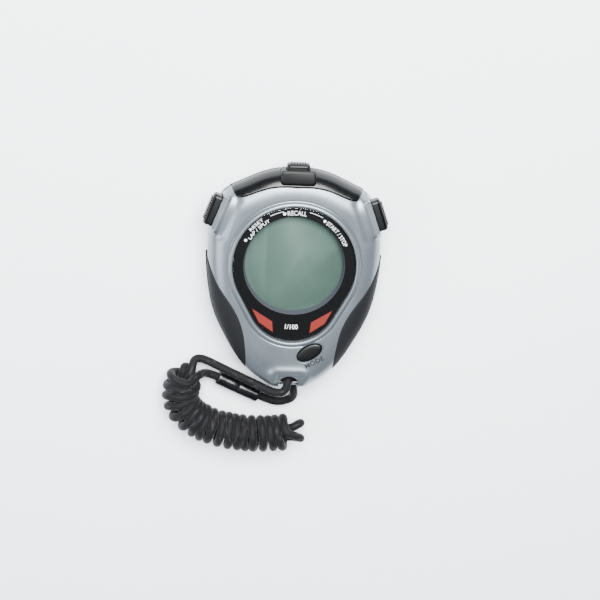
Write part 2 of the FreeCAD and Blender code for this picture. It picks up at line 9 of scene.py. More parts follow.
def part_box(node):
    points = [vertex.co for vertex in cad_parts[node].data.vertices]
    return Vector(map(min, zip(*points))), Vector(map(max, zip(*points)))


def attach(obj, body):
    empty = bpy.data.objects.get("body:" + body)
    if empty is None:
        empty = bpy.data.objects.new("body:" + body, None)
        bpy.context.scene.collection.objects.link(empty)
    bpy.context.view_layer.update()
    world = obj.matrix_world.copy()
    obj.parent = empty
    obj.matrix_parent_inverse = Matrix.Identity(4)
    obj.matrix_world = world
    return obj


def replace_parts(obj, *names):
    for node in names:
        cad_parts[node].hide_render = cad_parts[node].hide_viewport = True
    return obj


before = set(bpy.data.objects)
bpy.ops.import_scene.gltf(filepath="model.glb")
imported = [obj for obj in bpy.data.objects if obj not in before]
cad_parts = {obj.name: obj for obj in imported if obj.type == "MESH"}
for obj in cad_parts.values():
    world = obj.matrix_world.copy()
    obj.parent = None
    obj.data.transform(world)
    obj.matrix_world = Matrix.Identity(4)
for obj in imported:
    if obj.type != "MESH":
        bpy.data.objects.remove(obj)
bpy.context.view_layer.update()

# Shapes are worked out in millimetres about the display's centre, with z up from the table,
# and turned into frame metres when their mesh is made.
mm = 0.001
bezelLow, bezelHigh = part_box("display_bezel")
dialCentre = np.array([(bezelLow[0] + bezelHigh[0]) / 2, (bezelLow[1] + bezelHigh[1]) / 2, 0.0])
print("frame loaded")


def toFrame(points):
    return np.asarray(points, float) * mm + dialCentre


# The camera is tipped from the face towards 12 o'clock and a little left, and its top leans right.
cameraView = dict(tilt=18.0, yaw=4.0, roll=2.9, distance=447.0, focal=70.0, faceHeight=20.0,
                  right=2.1, down=12.4)


def makeCamera(c):
    tilt = math.radians(c["tilt"])
    swing = Matrix.Rotation(math.radians(-c["yaw"]), 3, Vector((0, 1, 0)))
    away = swing @ Vector((0, math.sin(tilt), math.cos(tilt)))
    turn = Matrix.Rotation(math.radians(c["roll"]), 3, away)
    upward = turn @ (swing @ Vector((0, math.cos(tilt), -math.sin(tilt))))
    side = upward.cross(away)
    target = Vector(toFrame([0, 0, c["faceHeight"]])) + (side * c["right"] - upward * c["down"]) * mm
    data = bpy.data.cameras.new("camera")
    data.lens = c["focal"]
    data.clip_start = 0.01
    camera = bpy.data.objects.new("camera", data)
    camera.matrix_world = (Matrix.Translation(target + away * c["distance"] * mm)
                           @ Matrix((side, upward, away)).transposed().to_4x4())
    bpy.context.collection.objects.link(camera)
    bpy.context.scene.camera = camera


makeCamera(cameraView)
print("camera placed")


def hexColour(text):
    values = [int(text[i:i + 2], 16) / 255 for i in (1, 3, 5)]
    return tuple(v / 12.92 if v <= 0.04045 else ((v + 0.055) / 1.055) ** 2.4 for v in values) + (1.0,)


def addNode(tree, kind, settings=None, inputs=None):
    node = tree.nodes.new(kind)
    for name, value in (settings or {}).items():
        setattr(node, name, value)
    for name, value in (inputs or {}).items():
        if isinstance(value, bpy.types.NodeSocket):
            tree.links.new(value, node.inputs[name])
        else:
            node.inputs[name].default_value = value
    return node


def newMaterial(name):
    material = bpy.data.materials.new(name)
    material.use_nodes = True
    material.node_tree.nodes.clear()
    return material, material.node_tree


def grainMaterial(name, dark, light, grain, relief, metallic=0.0, roughness=(0.4, 0.5), **sockets):
    # colour, roughness and relief all follow one noise, whose grain is given in millimetres
    material, tree = newMaterial(name)
    place = addNode(tree, "ShaderNodeTexCoord").outputs["Object"]
    noise = addNode(tree, "ShaderNodeTexNoise", inputs={
        "Vector": place, "Scale": 1 / (grain * mm), "Detail": 3.0, "Roughness": 0.6}).outputs["Fac"]
    colour = addNode(tree, "ShaderNodeMix", {"data_type": "RGBA"}, {"Factor": noise})
    colour.inputs[6].default_value = hexColour(dark)
    colour.inputs[7].default_value = hexColour(light)
    rough = addNode(tree, "ShaderNodeMapRange", inputs={
        "Value": noise, "To Min": roughness[0], "To Max": roughness[1]})
    bump = addNode(tree, "ShaderNodeBump", inputs={
        "Height": noise, "Strength": 0.6, "Distance": relief * mm})
    shader = addNode(tree, "ShaderNodeBsdfPrincipled", inputs={
        "Base Color": colour.outputs[2], "Roughness": rough.outputs[0], "Metallic": metallic,
        "Normal": bump.outputs[0], **sockets})
    addNode(tree, "ShaderNodeOutputMaterial", inputs={"Surface": shader.outputs[0]})
    return material


def linked(name, mesh):
    piece = bpy.data.objects.new(name, mesh)
    bpy.context.collection.objects.link(piece)
    return piece


def meshPiece(name, points, faces, sharp=35.0):
    # points in millimetres about the display; doubles merged, faces turned outwards, real edges kept sharp
    mesh = bpy.data.meshes.new(name)
    mesh.from_pydata([tuple(p) for p in toFrame(points)], [], faces)
    cleanMesh(mesh, sharp)
    return linked(name, mesh)


def cleanMesh(mesh, sharp=35.0):
    work = bmesh.new()
    work.from_mesh(mesh)
    bmesh.ops.remove_doubles(work, verts=work.verts, dist=2e-6)
    bmesh.ops.dissolve_degenerate(work, edges=work.edges, dist=1e-6)
    bmesh.ops.recalc_face_normals(work, faces=work.faces)
    work.to_mesh(mesh)
    work.free()
    mesh.shade_smooth()
    mesh.set_sharp_from_angle(angle=math.radians(sharp))


def gridFaces(rows, columns, closeRows=False, closeColumns=False):
    faces = []
    for i in range(rows if closeRows else rows - 1):
        k = (i + 1) % rows
        for j in range(columns if closeColumns else columns - 1):
            n = (j + 1) % columns
            faces.append((i * columns + j, i * columns + n, k * columns + n, k * columns + j))
    return faces


def cappedFaces(rows, columns):
    # a grid closed round its columns, with its first and last rows filled
    ends = [tuple(range(columns)), tuple(range((rows - 1) * columns, rows * columns))]
    return gridFaces(rows, columns, closeColumns=True) + ends


def place(piece, body, slot, material, *nodes):
    piece.data.materials.clear()
    piece.data.materials.append(material)
    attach(piece, body)
    if nodes:
        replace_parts(piece, *nodes)


# lanyard: one cord from the clasp's socket, round the bar, through the hank and back to the plug
lanyard = dict(
    diameter=3.5, claspLeft=(-28.2, -52.4, 3.2), claspRight=(-11.2, -60.2, 3.2), claspBore=2.5, claspExit=4.4,
    strand=[(-2.2, -63.2, 2.6), (2.9, -60.6, 4.2), (3.0, -56.4, 7.4), (2.2, -53.2, 9.2), (1.2, -47.7, 9.3),
            (0.0, -47.7, 15.1), (-0.9, -53.4, 15.6), (-5.4, -54.4, 14.6), (-11.4, -52.2, 12.4),
            (-17.4, -50.3, 9.8), (-23.6, -48.2, 7.6), (-29.4, -45.9, 6.0), (-34.8, -43.6, 5.4),
            (-38.2, -43.7, 6.3)],
    hank=[(-40.3, -48.6), (-44.2, -57.0), (-41.2, -66.0), (-32.2, -72.0), (-20.4, -74.9), (-7.0, -75.4),
          (5.4, -73.6)],
    hankHeight=8.1, coreRadius=2.2, wrapRadius=6.1, pitch=3.5, wrapPoints=14, loopReach=4.4,
    tail=[(-38.4, -52.6, 12.2), (-35.6, -49.4, 8.2)],
    yarnsAround=8, yarnPitch=2.6, relief=0.2, around=28, step=0.42, seed=7)


def splineLine(points, name, resolution=8):
    # an open NURBS spline with the given control points, and the line that it draws
    curve = bpy.data.curves.new(name, "CURVE")
    curve.dimensions = "3D"
    curve.resolution_u = resolution
    spline = curve.splines.new("NURBS")
    spline.points.add(len(points) - 1)
    for point, p in zip(spline.points, toFrame(points)):
        point.co = (*p, 1.0)
    spline.order_u = 3
    spline.use_endpoint_u = True
    route = linked(name, curve)
    line = bpy.data.meshes.new_from_object(route.evaluated_get(bpy.context.evaluated_depsgraph_get()))
    drawn = np.array([v.co for v in line.vertices])
    bpy.data.meshes.remove(line)
    bpy.data.objects.remove(route)
    return (drawn - dialCentre) / mm


def evenly(line, step):
    lengths = np.concatenate([[0], np.cumsum(np.linalg.norm(np.diff(line, axis=0), axis=1))])
    count = int(round(lengths[-1] / step)) + 1
    at = np.linspace(0, lengths[-1], count)
    return np.stack([np.interp(at, lengths, line[:, k]) for k in range(3)], axis=1)


def unit(vectors):
    return vectors / np.linalg.norm(vectors, axis=-1, keepdims=True)


def lanyardRoute(c):
    random = np.random.default_rng(c["seed"])
    left, right = np.array(c["claspLeft"]), np.array(c["claspRight"])
    along = unit(right - left)
    start = [right - along * c["claspBore"], right + along * c["claspExit"]]
    axis = evenly(splineLine([(x, y, c["hankHeight"]) for x, y in c["hank"]], "hank_axis"), 0.5)
    heading = unit(np.gradient(axis, axis=0))
    outer = np.cross(heading, [0, 0, 1])         # away from the stopwatch
    length = (len(axis) - 1) * 0.5
    last = length - c["loopReach"]

    def at(distance, radius, angle):
        i = int(np.clip(round(distance / 0.5), 0, len(axis) - 1))
        beyond = min(distance, 0) + max(distance - length, 0)
        spoke = math.cos(angle) * outer[i] + math.sin(angle) * np.array([0, 0, 1.0])
        return axis[i] + heading[i] * beyond + spoke * radius

    def straight(first, final, angle):
        count = 9
        return [at(first + (final - first) * k / (count - 1), c["coreRadius"] + random.normal(0, 0.1), angle)
                for k in range(count)]

    top, low, far = math.radians(150), math.radians(270), math.radians(30)
    core = straight(1.0, last + 1.0, top)
    core += [at(last + 4.6, 3.6, top + 0.1), at(last + 6.4, 3.4, top + 0.8), at(last + 4.4, 3.2, low - 0.6)]
    core += straight(last + 1.0, 1.5, low)
    core += [at(-0.6, 2.6, low), at(-1.4, 2.4, low + 1.0), at(-0.4, 2.4, far)]
    core += straight(1.5, last + 1.0, far)
    wraps = []
    first, final = last - 0.2, 2.4
    turns = (first - final) / c["pitch"]
    finish = math.radians(112)
    count = int(turns * c["wrapPoints"])
    begin = (finish - 2 * math.pi * turns) % (2 * math.pi)
    for reach, radius, share in [(4.2, 2.9, 0.1), (5.6, 4.2, 0.4), (3.6, 5.4, 0.75)]:
        core.append(at(last + reach, radius, far + (begin - far) * share))
    offsets = random.normal(0, 0.11, int(turns) + 3)
    for k in range(count + 1):
        turned = 2 * math.pi * turns * (1 - k / count)
        number = turned / (2 * math.pi)
        whole = int(number)
        loose = offsets[whole] + (offsets[whole + 1] - offsets[whole]) * (number - whole)
        tilt = 0.45 * math.sin(finish - turned + 1.3 * whole)
        distance = final + (first - final) * (1 - k / count) + tilt
        wraps.append(at(distance, c["wrapRadius"] + loose, finish - turned))
    end = [left - along * c["claspExit"], left + along * c["claspBore"]]
    return start + [np.array(p) for p in c["strand"]] + core + wraps + [np.array(c["tail"][-1])] + end


def tubeFrames(line):
    # directions along and across a line, carried along it without twisting
    heading = unit(np.gradient(line, axis=0))
    across = np.zeros_like(line)
    side = unit(np.cross(heading[0], [0.0, 0.0, 1.0]))
    for i, direction in enumerate(heading):
        side = side - direction * np.dot(side, direction)
        side = side / np.linalg.norm(side)
        across[i] = side
    return heading, across, np.cross(heading, across)


def braidedTube(name, line, c):
    # yarns of a round braid pass over and under each other: each cell is one yarn's visible hump
    _, across, upward = tubeFrames(line)
    rows, columns = len(line), c["around"]
    turn = np.arange(columns) / columns
    run = np.concatenate([[0], np.cumsum(np.linalg.norm(np.diff(line, axis=0), axis=1))])
    u = turn[None, :] * c["yarnsAround"] + run[:, None] / c["yarnPitch"]
    v = turn[None, :] * c["yarnsAround"] - run[:, None] / c["yarnPitch"]
    parity = (np.floor(u) + np.floor(v)) % 2
    fu, fv = np.sin(np.pi * (u % 1)), np.sin(np.pi * (v % 1))
    long, wide = np.where(parity > 0, fu, fv), np.where(parity > 0, fv, fu)
    hump = long ** 0.35 * wide ** 0.9
    radius = c["diameter"] / 2 - c["relief"] * (1 - hump)
    angle = 2 * np.pi * turn
    spokes = (across[:, None, :] * np.cos(angle)[None, :, None]
              + upward[:, None, :] * np.sin(angle)[None, :, None])
    points = line[:, None, :] + spokes * radius[:, :, None]
    mesh = bpy.data.meshes.new(name)
    mesh.from_pydata([tuple(p) for p in toFrame(points.reshape(-1, 3))], [], cappedFaces(rows, columns))
    # each point keeps its hump height (which the material uses for painted shade and highlight), its yarn's
    # fleck number and its distance along the cord
    yarn = mesh.attributes.new("yarn", "FLOAT_VECTOR", "POINT")
    carrier = np.where(parity > 0, np.floor(v) * 0.37, np.floor(u) * 0.61) % 1
    facts = np.stack([hump, carrier, np.broadcast_to(run[:, None], hump.shape) * mm], axis=-1)
    yarn.data.foreach_set("vector", facts.reshape(-1).astype(np.float32))
    work = bmesh.new()
    work.from_mesh(mesh)
    bmesh.ops.recalc_face_normals(work, faces=work.faces)
    work.to_mesh(mesh)
    work.free()
    mesh.shade_smooth()
    return linked(name, mesh)


def braidMaterial():
    # braided polyester: matt dark yarns with painted shade in the hollows between yarns and a painted
    # highlight where the filaments stand proud, broken up by fibre grain, with odd pale flecks
    material, tree = newMaterial("braided_polyester")
    facts = addNode(tree, "ShaderNodeAttribute", {"attribute_name": "yarn"}).outputs["Vector"]
    parts = addNode(tree, "ShaderNodeSeparateXYZ", inputs={"Vector": facts})
    place = addNode(tree, "ShaderNodeTexCoord").outputs["Object"]
    fibre = addNode(tree, "ShaderNodeTexNoise", inputs={     # filament bundles, about 0.15 mm
        "Vector": place, "Scale": 1 / (0.3 * mm), "Detail": 4.0, "Roughness": 0.7}).outputs["Fac"]
    # painted light: the yarn's hump height times the fibre noise lightens the crests and darkens the hollows
    # between yarns
    painted_crest_light = addNode(tree, "ShaderNodeMath", {"operation": "MULTIPLY"}, {0: parts.outputs["X"], 1: fibre})
    shade = addNode(tree, "ShaderNodeMix", {"data_type": "RGBA"}, {"Factor": painted_crest_light.outputs[0]})
    shade.inputs[6].default_value = hexColour("#020203")
    shade.inputs[7].default_value = hexColour("#151518")
    fleck = addNode(tree, "ShaderNodeMapRange", inputs={
        "Value": parts.outputs["Y"], "From Min": 0.8, "From Max": 0.95, "To Min": 0.0, "To Max": 0.25})
    colour = addNode(tree, "ShaderNodeMix", {"data_type": "RGBA"}, {"Factor": fleck.outputs[0]})
    tree.links.new(shade.outputs[2], colour.inputs[6])
    colour.inputs[7].default_value = hexColour("#3C3C42")
    bump = addNode(tree, "ShaderNodeBump", inputs={"Height": fibre, "Strength": 0.7, "Distance": 0.12 * mm})
    shader = addNode(tree, "ShaderNodeBsdfPrincipled", inputs={
        "Base Color": colour.outputs[2], "Roughness": 0.72, "Normal": bump.outputs[0],
        "Sheen Weight": 0.06, "Sheen Roughness": 0.4, "Specular IOR Level": 0.15})
    addNode(tree, "ShaderNodeOutputMaterial", inputs={"Surface": shader.outputs[0]})
    return material


cordPoints = lanyardRoute(lanyard)
cordLine = evenly(splineLine(cordPoints, "lanyard_route"), lanyard["step"])
cord = braidedTube("lanyard_cord", cordLine, lanyard)

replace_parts(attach(cord, "case"), "lanyard_strand", "lanyard_hank", "lanyard_tail")


# the outlines that the case follows
shell = dict(
    halfWidth=33.6, crown=36.9, tip=53.0, centre=-3.0, parting=11.0, rise=9.0, run=10.0, power=2.3,
    outline=[(0, 1), (0.385, 0.943), (0.64, 0.838), (0.83, 0.736), (0.928, 0.558), (0.985, 0.339),
             (1, 0.081), (0.97, -0.179), (0.89, -0.404), (0.75, -0.594), (0.524, -0.817), (0.286, -0.94),
             (0, -1)],
    lensRadius=23.6, lensDrop=30.4, lensTail=17.5, rimHeight=0.8, wall=3.2, ceiling=16.0, columns=480,
    pusherAngle=20.7, pusherReach=(31.18, 20.6), notchWidth=8.0, notchTop=-45.4)


def closedSpline(knots, samples):
    # a smooth closed curve through the knots, its second derivatives solved from one round of equations
    knots = np.array(knots, float)
    count = len(knots)
    ahead = np.roll(knots, -1, axis=0)
    gaps = np.linalg.norm(ahead - knots, axis=1)
    before = np.roll(gaps, 1)
    slopes = (ahead - knots) / gaps[:, None]
    matrix = np.diag(2 * (gaps + before))
    for i in range(count):
        matrix[i, i - 1] += before[i]
        matrix[i, (i + 1) % count] += gaps[i]
    bend = np.linalg.solve(matrix, 6 * (slopes - np.roll(slopes, 1, axis=0)))
    points = []
    for i in range(count):
        k = (i + 1) % count
        h = gaps[i]
        t = np.linspace(0, h, samples, endpoint=False)[:, None]
        points.append(bend[i] * (h - t) ** 3 / (6 * h) + bend[k] * t ** 3 / (6 * h)
                      + (knots[i] / h - bend[i] * h / 6) * (h - t) + (knots[k] / h - bend[k] * h / 6) * t)
    return np.concatenate(points)


def eggPoints(radius, drop, tail):
    # a circle and a smaller one below it, joined by straight tangents
    low = -(drop - tail)
    lean = math.asin((radius - tail) / -low)
    upper = np.linspace(-lean, math.pi + lean, 240)
    lower = np.linspace(math.pi + lean, 2 * math.pi - lean, 240)
    points = np.concatenate([np.stack([radius * np.cos(upper), radius * np.sin(upper)], axis=1),
                             np.stack([tail * np.cos(lower), low + tail * np.sin(lower)], axis=1)])
    closed = np.concatenate([points, points[:1]])
    return evenly(np.column_stack([closed, np.zeros(len(closed))]), 0.2)[:-1, :2]


def polar(points, centre):
    # radius and lean of an outline as functions of the clock angle about (0, centre)
    x, y = points[:, 0], points[:, 1] - centre
    turn = np.arctan2(x, y)
    order = np.argsort(turn)
    turn, reach = turn[order], np.hypot(x, y)[order]

    def radius(angle):
        return np.interp(angle, turn, reach, period=2 * math.pi)

    def lean(angle):
        slope = (radius(angle + 0.01) - radius(angle - 0.01)) / 0.02
        return 1 / np.hypot(1, slope / radius(angle))

    return radius, lean


halfOutline = [(x * shell["halfWidth"], y * (shell["crown"] if y > 0 else shell["tip"]))
               for x, y in shell["outline"]]
outline = closedSpline(halfOutline + [(-x, y) for x, y in halfOutline[-2:0:-1]], 60)
outerRadius, outerLean = polar(outline, shell["centre"])
lensEgg = eggPoints(shell["lensRadius"], shell["lensDrop"], shell["lensTail"])
lensRadius, lensLean = polar(lensEgg, shell["centre"])


def smoothStep(value, low, high):
    t = np.clip((value - low) / (high - low), 0, 1)
    return t * t * (3 - 2 * t)


def crowned(inset, run, rise, power):
    across = np.clip(1 - np.maximum(inset, 0) / run, 0, 1)
    return rise * (1 - across ** power) ** (1 / power)


def faceHeight(x, y):
    # the front's surface without its rim: a crowned edge, raised collars at the side pushers, a soft nose
    turn = np.arctan2(x, y - shell["centre"])
    radius = np.hypot(x, y - shell["centre"])
    inset = (outerRadius(turn) - radius) * outerLean(turn)
    z = shell["parting"] + crowned(inset, shell["run"], shell["rise"], shell["power"])
    angle = math.radians(shell["pusherAngle"])
    px, py = shell["pusherReach"]
    back = -((np.abs(x) - px) * math.cos(angle) + (y - py) * math.sin(angle))
    along = -(np.abs(x) - px) * math.sin(angle) + (y - py) * math.cos(angle)
    away = np.hypot(np.maximum(np.abs(along) - 6.6, 0), np.maximum(back - 2.4, 0))
    inside = smoothStep(back, 0.2, 2.0)
    collar = smoothStep(back, 0.7, 1.25) * (1 - smoothStep(away, 0.3, 2.7))
    z = z + np.maximum(18.8 - z, 0) * collar + 0.35 * np.exp(-((away - 0.9) / 0.8) ** 2) * inside
    z = z - 0.55 * np.exp(-((away - 4.0) / 1.6) ** 2) * inside * smoothStep(12 - np.abs(along), 0, 5)
    notch = np.hypot(np.maximum(np.abs(x) - shell["notchWidth"] / 2, 0), np.maximum(y - shell["notchTop"], 0))
    z = z + 0.7 * np.exp(-((notch - 3.0) / 1.7) ** 2) * smoothStep(-y, 39, 44)
    z = z - 1.1 * np.exp(-(notch / 1.1) ** 2)
    z = z - 0.5 * np.exp(-(((np.abs(x) - 9.0) / 3.2) ** 2 + ((y + 42.3) / 3.0) ** 2)) * smoothStep(-x, 0, 3)
    return z


def ringPoint(turn, radius, height):
    return np.stack([radius * np.sin(turn), shell["centre"] + radius * np.cos(turn), height], axis=-1)


def frontShell():
    turn = np.linspace(-math.pi, math.pi, shell["columns"], endpoint=False)
    outer, lean = outerRadius(turn), outerLean(turn)
    lens, lensAcross = lensRadius(turn), lensLean(turn)
    flat = np.ones_like(turn)
    rows = [ringPoint(turn, outer - shell["wall"] / lean, shell["ceiling"] * flat),
            ringPoint(turn, outer - shell["wall"] / lean, shell["parting"] * flat),
            ringPoint(turn, outer - 0.2, shell["parting"] * flat),
            ringPoint(turn, outer - 0.12, (shell["parting"] + 0.05) * flat)]
    rimOuter = lens + 2.8 / lensAcross
    for share in np.linspace(0.03, 1, 38) ** 2.3:
        radius = outer + (rimOuter - outer) * share
        place = ringPoint(turn, radius, flat)
        rows.append(ringPoint(turn, radius, faceHeight(place[:, 0], place[:, 1])))
    for out, weight, dip in [(2.62, 0.0, -0.02), (2.48, 0.0, -0.2), (2.3, 0.0, -0.26), (2.12, 0.0, -0.18),
                             (2.0, 0.04, 0.0), (1.86, 0.2, 0.0), (1.66, 0.52, 0.0), (1.42, 0.8, 0.0),
                             (1.15, 0.95, 0.0), (0.85, 1.0, 0.0), (0.55, 0.98, 0.0), (0.32, 0.86, 0.0),
                             (0.18, 0.6, 0.0)]:
        radius = lens + out / lensAcross
        place = ringPoint(turn, radius, flat)
        face = faceHeight(place[:, 0], place[:, 1])
        top = shell["parting"] + shell["rise"] + shell["rimHeight"]
        rows.append(ringPoint(turn, radius, face + (top - face) * weight + dip))
    rows.append(ringPoint(turn, lens + 0.15 / lensAcross, 18.0 * flat))
    rows.append(ringPoint(turn, lens + 0.15 / lensAcross, shell["ceiling"] * flat))
    points = np.concatenate(rows)
    return meshPiece("front_shell", points, gridFaces(len(rows), shell["columns"], True, True), 40)


def prism(name, loop, low, high, across=None, upward=None, origin=(0, 0, 0)):
    # a straight solid over a closed outline, along the third of its own axes
    across = np.array(across if across is not None else (1, 0, 0), float)
    upward = np.array(upward if upward is not None else (0, 1, 0), float)
    axis = np.cross(across, upward)
    loop = np.array(loop, float)
    flat = loop[:, :1] * across + loop[:, 1:2] * upward + np.array(origin, float)
    points = np.concatenate([flat + axis * low, flat + axis * high])
    return meshPiece(name, points, cappedFaces(2, len(loop)))


def roundedBox(width, height, corner, steps=6):
    loop = []
    for k, (sx, sy) in enumerate([(1, 1), (-1, 1), (-1, -1), (1, -1)]):
        for t in np.linspace(0, math.pi / 2, steps):
            angle = k * math.pi / 2 + t
            loop.append((sx * (width / 2 - corner) + corner * math.cos(angle),
                         sy * (height / 2 - corner) + corner * math.sin(angle)))
    return loop


def ovalLoop(a, b, count=72):
    t = np.linspace(0, 2 * math.pi, count, endpoint=False)
    return np.stack([a * np.cos(t), b * np.sin(t)], axis=1)


def cut(piece, *tools, folded=False):
    # folded: the piece touches itself somewhere, so the slower way is needed
    for tool in tools:
        modifier = piece.modifiers.new("cut", "BOOLEAN")
        modifier.operation = "DIFFERENCE"
        modifier.solver = "EXACT"
        modifier.use_self = folded
        modifier.object = tool
    mesh = bpy.data.meshes.new_from_object(piece.evaluated_get(bpy.context.evaluated_depsgraph_get()))
    piece.modifiers.clear()
    piece.data = mesh
    for tool in tools:
        bpy.data.objects.remove(tool)
    mesh.shade_smooth()
    mesh.set_sharp_from_angle(angle=math.radians(35))
    return piece


# each pusher's own axes: outward, along its length, and up from the table
pusher = dict(height=14.8, capHeight=6.0, capBack=-1.0, capProud=2.9, pocket=-2.3, gap=0.3, corner=1.4,
              stemEnd=-9.0, springHole=2.7, holeEnd=-11.5)
pushers = dict(
    start_stop=dict(angle=20.7, at=(31.18, 20.6), width=12.5, ribs=9, body="start_stop_button"),
    lap_reset=dict(angle=159.3, at=(-31.18, 20.6), width=12.5, ribs=9, body="lap_reset_button"),
    recall=dict(angle=90.0, at=(0.0, 36.9), width=8.8, ribs=6, body="recall_button"))


def pusherAxes(p):
    angle = math.radians(p["angle"])
    outward = np.array([math.cos(angle), math.sin(angle), 0.0])
    return np.array([*p["at"], pusher["height"]]), outward, np.array([-outward[1], outward[0], 0.0])


def pocketTool(name, p, inner, taller):
    origin, outward, along = pusherAxes(p)
    tall = pusher["capHeight"] + 2 * pusher["gap"]
    wide = p["width"] + 2 * pusher["gap"] + taller / 50    # the taller cut keeps off the first one's sides
    loop = np.array(roundedBox(wide, tall + taller, pusher["corner"] + pusher["gap"]))
    loop[:, 1] += taller / 2 - taller / 80
    return prism(name, loop, inner, 8 + taller / 10, along, (0, 0, 1), origin)


def springTool(name, p):
    origin, outward, along = pusherAxes(p)
    hole = ovalLoop(pusher["springHole"], pusher["springHole"], 40)
    return prism(name, hole, pusher["holeEnd"], pusher["pocket"] + 0.5, along, (0, 0, 1), origin)


modeKey = dict(centre=(7.5, -34.8), angle=32.0, long=5.3, short=2.9, gap=0.3, recess=0.8, recessFloor=19.5)


def modeTool(name, grow, low, high):
    angle = math.radians(modeKey["angle"])
    loop = ovalLoop(modeKey["long"] + grow, modeKey["short"] + grow)
    across = (math.cos(angle), math.sin(angle), 0)
    upward = (-math.sin(angle), math.cos(angle), 0)
    return prism(name, loop, low, high, across, upward, (*modeKey["centre"], 0))


frontShellPiece = frontShell()
notchHalf = shell["notchWidth"] / 2
notchLoop = [(notchHalf, -60), (notchHalf, shell["notchTop"] - notchHalf)]
notchLoop += [(notchHalf * math.cos(t), shell["notchTop"] - notchHalf + notchHalf * math.sin(t))
              for t in np.linspace(0, math.pi, 17)[1:-1]]
notchLoop += [(-notchHalf, shell["notchTop"] - notchHalf), (-notchHalf, -60)]
cut(frontShellPiece,
    pocketTool("tool_a", pushers["start_stop"], pusher["pocket"], 0),
    pocketTool("tool_b", pushers["lap_reset"], pusher["pocket"], 0),
    springTool("tool_g", pushers["start_stop"]), springTool("tool_h", pushers["lap_reset"]),
    springTool("tool_i", pushers["recall"]),
    pocketTool("tool_j", pushers["start_stop"], -0.8, 6), pocketTool("tool_k", pushers["lap_reset"], -0.8, 6),
    prism("tool_c", roundedBox(13.5, 12.0, 1.2), 10, 24, origin=(0, 37.8, 0)),
    modeTool("tool_d", modeKey["gap"], 10, 24),
    modeTool("tool_e", modeKey["recess"], modeKey["recessFloor"], 24),
    prism("tool_f", notchLoop, 5, 26))
print("front shell made,", len(frontShellPiece.data.polygons), "faces")


def skinPatch(name, upper, lower):
    # a closed pad between two grids that have the same rows and columns
    rows, columns = upper.shape[:2]
    points = np.concatenate([upper.reshape(-1, 3), lower.reshape(-1, 3)])
    size = rows * columns
    faces = gridFaces(rows, columns)
    faces += [tuple(size + k for k in reversed(f)) for f in gridFaces(rows, columns)]
    rim = [j for j in range(columns)] + [i * columns + columns - 1 for i in range(1, rows)]
    rim += [(rows - 1) * columns + j for j in range(columns - 2, -1, -1)]
    rim += [i * columns for i in range(rows - 2, 0, -1)]
    faces += [(rim[k], rim[(k + 1) % len(rim)], size + rim[(k + 1) % len(rim)], size + rim[k])
              for k in range(len(rim))]
    return meshPiece(name, points, faces, 50)


def edgeLayer(turn, innerInset, pad):
    # rows run from the pad's inner edge over the crown and down its side; its borders dip into the case
    rows, proud, dip = [], pad["proud"], pad["dip"]
    outer, lean = outerRadius(turn), outerLean(turn)
    shares = np.concatenate([np.linspace(0, 0.5, 16, endpoint=False), 1 - 0.5 * np.linspace(1, 0, 30) ** 2.2])
    for share in shares:
        inset = innerInset * (1 - share)
        place = ringPoint(turn, outer - inset / lean, 0 * turn)
        height = faceHeight(place[:, 0], place[:, 1])
        rows.append(ringPoint(turn, outer - inset / lean, height))
    base = rows[-1][:, 2]
    for share in np.linspace(0, 1, 10)[1:]:
        rows.append(ringPoint(turn, outer, base + (pad["foot"] - base) * share))
    grid = np.array(rows)
    normal = unit(np.cross(np.gradient(grid, axis=1), np.gradient(grid, axis=0)))
    normal *= np.sign(np.median((normal * (grid - np.array([0, shell["centre"], 8.0]))).sum(-1)))
    steps = np.linalg.norm(np.diff(grid, axis=0), axis=-1)
    run = np.concatenate([np.zeros((1, len(turn))), np.cumsum(steps, axis=0)])
    side = np.minimum(np.abs(turn - turn[0]), np.abs(turn[-1] - turn)) * outer
    border = np.minimum(np.minimum(run, run[-1] - run), side[None, :])
    rise = np.sqrt(np.clip(1 - (1 - np.clip(border / pad["soften"], 0, 1)) ** 2, 0, 1))
    return grid + normal * (-dip + (proud + dip) * rise)[..., None], grid - normal * (dip + 0.3)


grip = dict(first=78.9, last=157.6, proud=0.28, dip=0.35, soften=0.9, foot=11.15, columns=150,
            edge=[(1.02, 0.1), (0.93, -0.085), (0.83, -0.19), (0.715, -0.285), (0.62, -0.385), (0.556, -0.5),
                  (0.525, -0.635), (0.512, -0.79), (0.515, -0.95)])
topPanel = dict(half=38.2, proud=0.5, dip=0.35, soften=1.0, foot=11.15, columns=130,
                turns=(0, 18, 31, 36, 38.2), insets=(6.3, 5.3, 4.8, 4.5, 3.6))


def gripPad(side):
    corners = np.array([(x * shell["halfWidth"], y * (shell["crown"] if y > 0 else shell["tip"]))
                        for x, y in grip["edge"]])
    line = splineLine([(x, y, 0) for x, y in corners], "grip_edge", 20)[:, :2]
    edgeTurn = np.arctan2(line[:, 0], line[:, 1] - shell["centre"])
    edgeReach = np.hypot(line[:, 0], line[:, 1] - shell["centre"])
    turn = np.radians(np.linspace(grip["first"], grip["last"], grip["columns"]))
    inset = (outerRadius(turn) - np.interp(turn, edgeTurn, edgeReach)) * outerLean(turn)
    layers = edgeLayer(turn, np.maximum(inset, 0.02), grip)
    if side < 0:
        layers = [layer[:, ::-1] * np.array([-1, 1, 1]) for layer in layers]
    return skinPatch("right_grip_pad" if side > 0 else "left_grip_pad", *layers)


def panelPad():
    turn = np.radians(np.linspace(-topPanel["half"], topPanel["half"], topPanel["columns"]))
    inset = np.interp(np.abs(np.degrees(turn)), topPanel["turns"], topPanel["insets"])
    kernel = np.hanning(15) / np.hanning(15).sum()
    inset = np.convolve(np.pad(inset, 7, mode="edge"), kernel, "valid")
    return skinPatch("top_panel_pad", *edgeLayer(turn, inset, topPanel))


rightGrip, leftGrip = gripPad(1), gripPad(-1)
guardSlot = prism("tool_p", roundedBox(13.4, 12.0, 1.2), 10, 24, origin=(0, 37.85, 0))
panel = cut(panelPad(), guardSlot, folded=True)
print("grips and top panel made")


